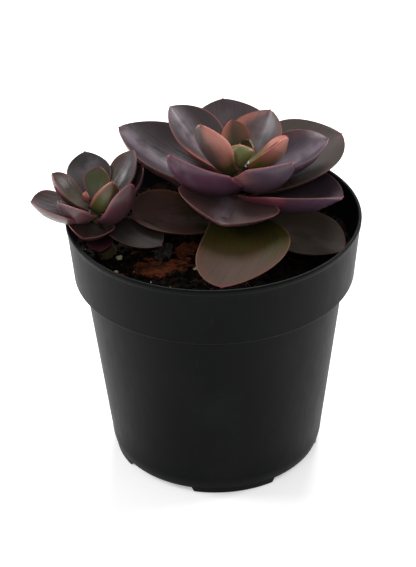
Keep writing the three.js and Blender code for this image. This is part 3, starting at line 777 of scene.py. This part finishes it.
# green: how far up the foot colour runs; left and right: blush on each side, seen from the leaf's tip;
# reach: how far the blush runs; bloom and highlight: pale wax that is also a painted highlight along the
# channel; shade: dark streaks; the rest are colours.
MAIN_TONES = {
    "bud_leaf_a": dict(green=1.1, left=0.5, right=0.5, shade=0, foot=(92, 98, 26), upper=(150, 84, 68),
                       under=(120, 84, 50), blush=(170, 84, 76), edge=(190, 84, 78)),
    "bud_leaf_b": dict(green=1.2, shade=0, foot=(52, 60, 20), upper=(92, 76, 48)),
    "leaf_01": dict(green=0.5, left=0.25, right=0.75, bloom_and_highlight=0, shade=0.1, foot=(58, 64, 26),
                    upper=(84, 68, 50), under=(92, 74, 56), blush=(196, 124, 108), edge=(188, 84, 84)),
    "leaf_02": dict(green=0.5, left=0.55, right=0.85, bloom_and_highlight=0, shade=0, foot=(96, 104, 30),
                    upper=(132, 92, 78), under=(136, 96, 80), blush=(208, 134, 116), edge=(190, 84, 92)),
    "leaf_03": dict(green=0.45, left=0.0, right=0.8, bloom_and_highlight=0, shade=0.1, foot=(70, 68, 28),
                    upper=(76, 70, 68), under=(84, 74, 70), blush=(204, 128, 112), edge=(206, 138, 126)),
    "leaf_04": dict(green=0.05, left=0.35, right=0.9, reach=0.45, shade=0.1, foot=(88, 70, 50),
                    under=(84, 66, 80), upper=(74, 60, 68), blush=(214, 142, 126), edge=(170, 92, 108)),
    "leaf_05": dict(green=0.3, left=0.15, right=0.85, bloom_and_highlight=0.5, shade=0.1, foot=(72, 74, 38),
                    upper=(52, 50, 50), blush=(192, 122, 106), edge=(158, 92, 88)),
    "leaf_06": dict(green=0.0, left=0.1, bloom_and_highlight=0.7, upper=(82, 66, 76), under=(86, 52, 70),
                    edge=(150, 82, 92)),
    "leaf_07": dict(green=0.0, left=0.2, right=0.8, reach=0.5, bloom_and_highlight=0.7, upper=(56, 43, 46),
                    blush=(160, 94, 84), edge=(158, 94, 84), shade=0.4),
    "leaf_08": dict(green=0.1, right=0.2, bloom_and_highlight=0.6, upper=(66, 56, 68), under=(84, 68, 82),
                    foot=(72, 50, 48)),
    "leaf_09": dict(green=0.1, bloom_and_highlight=0.15, upper=(56, 41, 45), foot=(50, 38, 40), shade=0.45),
    "leaf_10": dict(green=0.0, left=0.2, bloom_and_highlight=0.55, upper=(68, 52, 50), under=(84, 62, 70),
                    edge=(168, 96, 92), shade=0.4),
    "leaf_11": dict(green=0.0, left=0.7, reach=0.55, bloom_and_highlight=0.35, upper=(56, 46, 52), under=(84, 60, 78),
                    blush=(150, 66, 84), edge=(140, 86, 76)),
    "leaf_12": dict(green=0.1, right=0.2, bloom_and_highlight=0.7, upper=(50, 37, 43), under=(76, 54, 60),
                    edge=(150, 104, 92), shade=0.45),
    "leaf_13": dict(green=0.15, bloom_and_highlight=0.15, upper=(66, 54, 48), foot=(36, 28, 28), edge=(134, 84, 66),
                    shade=0.35),
    "leaf_14": dict(green=0.4, left=0.25, reach=0.7, bloom_and_highlight=0.2, upper=(82, 62, 56), foot=(46, 45, 20),
                    under=(84, 58, 48), edge=(148, 92, 70), blush=(130, 80, 62), shade=0.45),
    "leaf_15": dict(green=0.7, left=0.5, right=0.5, bloom_and_highlight=0, shade=0.35, upper=(58, 39, 27),
                    foot=(50, 46, 15), under=(84, 64, 54), edge=(110, 76, 64), blush=(84, 46, 32)),
    "leaf_16": dict(green=0.3, bloom_and_highlight=0.12, upper=(52, 43, 34), foot=(44, 40, 22), edge=(78, 50, 36),
                    shade=0.4),
    "leaf_17": dict(green=0.3, upper=(44, 37, 30), foot=(34, 31, 17)),
    "leaf_18": dict(green=0.3, upper=(44, 37, 30), foot=(34, 31, 17)),
}
YOUNG = {"bud_leaf_a", "bud_leaf_b", "leaf_01", "leaf_02", "leaf_03", "leaf_05"}
OLD = {"leaf_14", "leaf_15", "leaf_16", "leaf_17", "leaf_18"}


def add_rosette(leaves, tones, stem, young, old):
    """Adds every leaf of a rosette, with young or old flesh on the leaves named as such."""
    for number, (node, shape) in enumerate(leaves.items()):
        flesh, slot = outer_flesh, "outer_leaf"
        if node in young:
            flesh, slot = inner_flesh, "inner_leaf"
        if node in old:
            flesh, slot = low_flesh, "low_leaf"
        add_leaf(node, shape, stem, flesh, slot, number + 1, **tones.get(node, {}))


add_rosette(MAIN_LEAVES, MAIN_TONES, MAIN_STEM, YOUNG, OLD)

# ---------------------------------------------------------------- small rosette
# The offset is a younger plant from the same root: its leaves are smaller, greener in the channel
# and pinker at the edges, and the left ones lie out over the pot's rim.
OFFSET_LEAVES = {
    "offset_bud": dict(az=190, reach=1.5, tip=105.5, base=101, width=4, start=0.8, arch=0.2, thick=1.5),
    "offset_leaf_01": dict(az=66, reach=6.5, tip=111.5, base=100, width=10, start=1.5, arch=0.2, thick=2),
    "offset_leaf_02": dict(az=322, reach=8.6, tip=112.0, base=98, width=8.5, start=1.5, arch=0.2,
                           thick=2.2, roll=-34, neck=0.8, widest=0.4),
    "offset_leaf_03": dict(az=168, reach=14.3, tip=111, base=98, width=11.5, start=1.5, arch=0.2,
                           thick=2.2),
    "offset_leaf_04": dict(az=103, reach=15, tip=113, base=97, width=15.5, arch=0.15, thick=2.4),
    "offset_leaf_05": dict(az=35, reach=17, tip=115.5, base=97.5, width=13, arch=0.2, thick=2.4),
    "offset_leaf_06": dict(az=212, reach=13.9, tip=105.3, base=96, width=14.5, arch=0.25, thick=2.4,
                           roll=10, neck=0.75, widest=0.45),
    "offset_leaf_07": dict(az=324, reach=14.8, tip=112.9, base=94, width=10.5, arch=0.25, thick=2.4,
                           roll=-12, neck=0.6),
    "offset_leaf_08": dict(az=24, reach=18, tip=110.5, base=95, width=13, arch=0.15, thick=2.4, cup=0.3),
    "offset_leaf_09": dict(az=191, reach=22.5, tip=104, base=95, width=18, arch=0.12, thick=2.6),
    "offset_leaf_10": dict(az=248.3, reach=13, tip=93.2, base=93, width=17, arch=0.1, thick=2.2, roll=-4,
                           neck=0.85, widest=0.35),
    "offset_leaf_11": dict(az=326, reach=27, tip=91.5, base=93, width=17, arch=0, thick=2.4, cup=0.2),
    "offset_leaf_12": dict(az=271.0, reach=16, tip=90.1, base=89.5, width=9, arch=0.02, thick=2.4,
                           cup=0.3, neck=0.7),
    "offset_leaf_13": dict(az=130, reach=16, tip=96, base=93, width=12, arch=0.1, thick=2.4, cup=0.3),
    "offset_leaf_14": dict(az=70, reach=18, tip=98, base=93.5, width=12, arch=0.1, thick=2.4, cup=0.3),
}
OFFSET_TONES = {
    "offset_bud": dict(green=0, left=0.8, right=0.8, bloom_and_highlight=0, upper=(110, 68, 52), blush=(150, 84, 70)),
    "offset_leaf_01": dict(green=0.95, left=0.15, right=0.2, bloom_and_highlight=0, shade=0.1, foot=(66, 70, 34),
                           upper=(74, 64, 44), edge=(150, 84, 72)),
    "offset_leaf_02": dict(green=0.75, left=0.1, right=0.1, bloom_and_highlight=0, shade=0.1, foot=(70, 70, 32),
                           upper=(84, 66, 50), under=(82, 70, 44), blush=(130, 76, 66),
                           edge=(176, 92, 92)),
    "offset_leaf_03": dict(green=0.6, left=0.1, right=0.1, bloom_and_highlight=0.3, foot=(70, 66, 42),
                           upper=(70, 62, 54), edge=(160, 92, 84)),
    "offset_leaf_04": dict(green=0.35, bloom_and_highlight=0.7, upper=(54, 50, 50), foot=(64, 62, 44),
                           edge=(128, 88, 80)),
    "offset_leaf_05": dict(green=0.5, right=0.15, bloom_and_highlight=0.5, upper=(54, 48, 46), foot=(64, 61, 42),
                           edge=(140, 80, 80)),
    "offset_leaf_06": dict(green=0, left=0.3, right=0.1, reach=0.5, bloom_and_highlight=0.6, upper=(72, 60, 62),
                           under=(92, 62, 66), blush=(140, 82, 80), edge=(160, 96, 100)),
    "offset_leaf_07": dict(green=0, left=0.2, right=0.1, bloom_and_highlight=0.1, upper=(58, 42, 46),
                           under=(66, 42, 48), blush=(124, 62, 72), edge=(140, 84, 92)),
    "offset_leaf_08": dict(green=0.2, bloom_and_highlight=0.1, upper=(28, 23, 21)),
    "offset_leaf_09": dict(green=0.1, left=0.1, bloom_and_highlight=0.3, upper=(52, 42, 42), under=(80, 52, 54),
                           edge=(134, 66, 66), shade=0.4),
    "offset_leaf_10": dict(green=0.1, left=0.4, bloom_and_highlight=0.2, upper=(56, 45, 41), under=(94, 60, 64),
                           blush=(116, 66, 64), edge=(164, 96, 96)),
    "offset_leaf_11": dict(green=0.2, bloom_and_highlight=0.05, upper=(36, 30, 26), foot=(46, 28, 30),
                           under=(52, 38, 37), edge=(72, 50, 40)),
    "offset_leaf_12": dict(green=0, bloom_and_highlight=0, upper=(50, 22, 30), under=(48, 22, 30), edge=(60, 32, 36)),
}
OFFSET_YOUNG = {"offset_bud", "offset_leaf_01", "offset_leaf_02"}
OFFSET_OLD = {"offset_leaf_11", "offset_leaf_12", "offset_leaf_13", "offset_leaf_14"}
add_rosette(OFFSET_LEAVES, OFFSET_TONES, OFFSET_STEM, OFFSET_YOUNG, OFFSET_OLD)

# ---------------------------------------------------------------- bark chips
# Two chips of composted pine bark lie half sunk in the soil: red-brown, split along the grain and
# ragged at the ends, where the fibres have torn.
BARK_CHIPS = {
    "bark_chip_front": dict(x=-19, y=-16, long=18, wide=8, thick=3, turn=-12, tilt=5),
    "bark_chip_back": dict(x=-9.5, y=-4.5, long=9, wide=7, thick=3, turn=50, tilt=14),
}
CHIP_SIDES = 64
CHIP_LIFT = 0.3
SPLINTERS = 46
SPLINTER_POINTS = 6


def lay_on_soil(points, piece, lift):
    """Turns and tilts points, in millimetres about a loose piece's middle, and sets them on the soil
    with the middle lifted by a share of the piece's thickness."""
    heading, tilt = math.radians(piece["turn"]), math.radians(piece["tilt"])
    placed = []
    for along, wide, high in points:
        flat = along * math.cos(tilt) - high * math.sin(tilt)
        high = along * math.sin(tilt) + high * math.cos(tilt)
        x = piece["x"] + flat * math.cos(heading) - wide * math.sin(heading)
        y = piece["y"] + flat * math.sin(heading) + wide * math.cos(heading)
        base = soil_height(piece["x"], piece["y"]) + piece["thick"] * lift
        placed.append((axis_x + x * MM, axis_y + y * MM, (base + high) * MM))
    return placed


def chip_rings(chip, seed):
    """Rings round a split block: its top, its torn edge and its underside."""
    rings = []
    for share, level in ((0.25, 1), (0.5, 1), (0.72, 1), (0.88, 0.94), (0.98, 0.66), (1, 0.2), (0.97, -0.4),
                         (0.8, -0.9), (0.4, -1)):
        row = []
        for i in range(CHIP_SIDES):
            angle = 2 * math.pi * i / CHIP_SIDES
            torn = 1 + 0.1 * math.sin(3 * angle + seed) + 0.07 * math.sin(7 * angle + 2 * seed)
            torn += 0.05 * math.sin(19 * angle + seed) * abs(math.cos(angle))
            along = chip["long"] / 2 * share * torn * math.cos(angle)
            wide = chip["wide"] / 2 * share * torn * math.sin(angle)
            split = 0.22 * math.sin(5.2 * wide + 0.5 * math.sin(0.9 * along + seed))
            split += 0.12 * math.sin(11 * wide)
            bowl = 0.3 * math.sin(0.5 * along + seed) - 0.25 * abs(math.sin(1.1 * wide + 0.2 * along))
            row.append((along, wide, level * chip["thick"] / 2 * 0.85 + (split + bowl) * max(level, 0)))
        rings.append(row)
    return rings


chip_skin, tree, surface = new_material("pine_bark", 0.85)
place = object_place(tree)
grain = noise(tree, object_place(tree, (0.35, 1.6, 1)), 900, 4, 0.65)
patch = noise(tree, place, 240, 4, 0.6)
tone = blend(tree, between(tree, patch, 0.4, 0.62), colour(62, 30, 18), colour(122, 58, 32))
tone = blend(tree, between(tree, grain, 0.5, 0.72), tone, colour(128, 72, 44))
tone = blend(tree, between(tree, grain, 0.45, 0.25), tone, colour(22, 13, 10))
link(tree, tone, surface.inputs["Base Color"])
surface.inputs["Specular IOR Level"].default_value = 0.2
add_bump(tree, surface, grain, 0.0005)
for number, (node, chip) in enumerate(BARK_CHIPS.items()):
    rings = [lay_on_soil(row, chip, CHIP_LIFT) for row in chip_rings(chip, 1.3 + 2 * number)]
    made = add_object(node + "_piece", *skin(rings))
    made.data.materials.append(chip_skin)
    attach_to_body(made, "root")
    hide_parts(node)

splinters = []
for _ in range(SPLINTERS):
    x, y = -19 + rng.gauss(0, 7), -15 + rng.gauss(0, 4.5)
    if y > -3 * x / 4 + 8:
        continue
    heading, length = rng.uniform(-0.7, 0.5), rng.uniform(2.5, 6)
    path = []
    for k in range(SPLINTER_POINTS):
        path.append(soil_point(x, y, 0.5 + 0.9 * math.sin(math.pi * k / 5) * rng.uniform(0.6, 1)))
        x += length / (SPLINTER_POINTS - 1) * math.cos(heading)
        y += length / (SPLINTER_POINTS - 1) * math.sin(heading)
        heading += rng.uniform(-0.2, 0.2)
    if math.hypot(x, y) < 46:
        splinters.append(strand(path, rng.uniform(0.25, 0.6) * MM))
torn_bark = add_object("bark_splinters", *join(splinters))
torn_bark.data.materials.append(chip_skin)
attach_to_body(torn_bark, "root")

# ---------------------------------------------------------------- dried leaf
# A leaf that the rosette shed long ago: grey-brown, papery and curled along its length.
DRIED_LEAF = dict(x=-17, y=-7, long=9, wide=6, thick=1.1, turn=65, tilt=24)
DRIED_SIDES = 40
DRIED_LIFT = 0.9
curl_rings = []
for side in (1, -1):
    for share in ((0.3, 0.6, 0.85, 0.97) if side > 0 else (1.0, 0.85, 0.5, 0.2)):
        row = []
        for i in range(DRIED_SIDES):
            angle = 2 * math.pi * i / DRIED_SIDES
            narrow = 1 - 0.3 * math.cos(angle)
            along = DRIED_LEAF["long"] / 2 * share * math.cos(angle)
            wide = DRIED_LEAF["wide"] / 2 * share * narrow * math.sin(angle)
            curl = 0.09 * wide * wide + 0.14 * math.sin(2.2 * along + wide) + 0.08 * math.sin(6 * wide)
            row.append((along, wide, curl + side * 0.22 * (1.15 - share)))
        curl_rings.append(lay_on_soil(row, DRIED_LEAF, DRIED_LIFT))
dried = add_object("shed_leaf", *skin(curl_rings))
papery, tree, surface = new_material("papery_dry_leaf", 0.8)
vein = noise(tree, object_place(tree, (1, 0.3, 1)), 900, 4, 0.6)
tone = blend(tree, between(tree, vein, 0.35, 0.7), colour(38, 33, 31), colour(88, 80, 76))
link(tree, tone, surface.inputs["Base Color"])
surface.inputs["Specular IOR Level"].default_value = 0.25
add_bump(tree, surface, vein, 0.0003)
dried.data.materials.append(papery)
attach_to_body(dried, "root")
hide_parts("dried_leaf")

# ---------------------------------------------------------------- perlite
# Expanded volcanic glass, mixed in to open the compost: a few puffed, creamy white grains
# and a scatter of fines. Each named grain has its x, y and size in millimetres.
PERLITE = {
    "perlite_1": (-32.5, -9, 2.4), "perlite_2": (-6.6, -17, 1.7), "perlite_3": (-21, -23.5, 1.6),
    "perlite_4": (-33.5, -16.5, 1.5), "perlite_5": (31, -24, 1.6),
}
FINES = 70
puffed, tree, surface = new_material("perlite_grain", 0.9)
pore = noise(tree, object_place(tree), 2600, 3, 0.6)
tone = blend(tree, between(tree, pore, 0.35, 0.65), colour(168, 146, 92), colour(244, 236, 200))
link(tree, tone, surface.inputs["Base Color"])
add_bump(tree, surface, pore, 0.0002)


def puffed_grain(x, y, size, steps=10, sides=16):
    """A knobbly round grain, a little flattened, half sunk in the soil."""
    rows = []
    for k in range(1, steps):
        polar = math.pi * k / steps
        row = []
        for i in range(sides):
            angle = 2 * math.pi * i / sides
            knobbly = 1 + 0.16 * math.sin(3 * angle + x) * math.sin(2 * polar + y)
            knobbly += 0.1 * math.sin(5 * angle + 4 * polar)
            radius = size / 2 * knobbly
            row.append(soil_point(x + radius * math.sin(polar) * math.cos(angle),
                                  y + 0.8 * radius * math.sin(polar) * math.sin(angle)))
            level = soil_height(x, y) + size * 0.2 - 0.8 * radius * math.cos(polar)
            row[-1] = (row[-1][0], row[-1][1], level * MM)
        rows.append(row)
    return skin(rows)


for node, (x, y, size) in PERLITE.items():
    made = add_object(node + "_grain", *puffed_grain(x, y, size))
    made.data.materials.append(puffed)
    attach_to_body(made, "root")
    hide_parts(node)

fines = []
for _ in range(FINES):
    x, y = random_spot(45)
    fines.append(puffed_grain(x, y, rng.uniform(0.35, 0.8), 5, 7))
scatter = add_object("perlite_fines", *join(fines))
scatter.data.materials.append(puffed)
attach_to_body(scatter, "root")
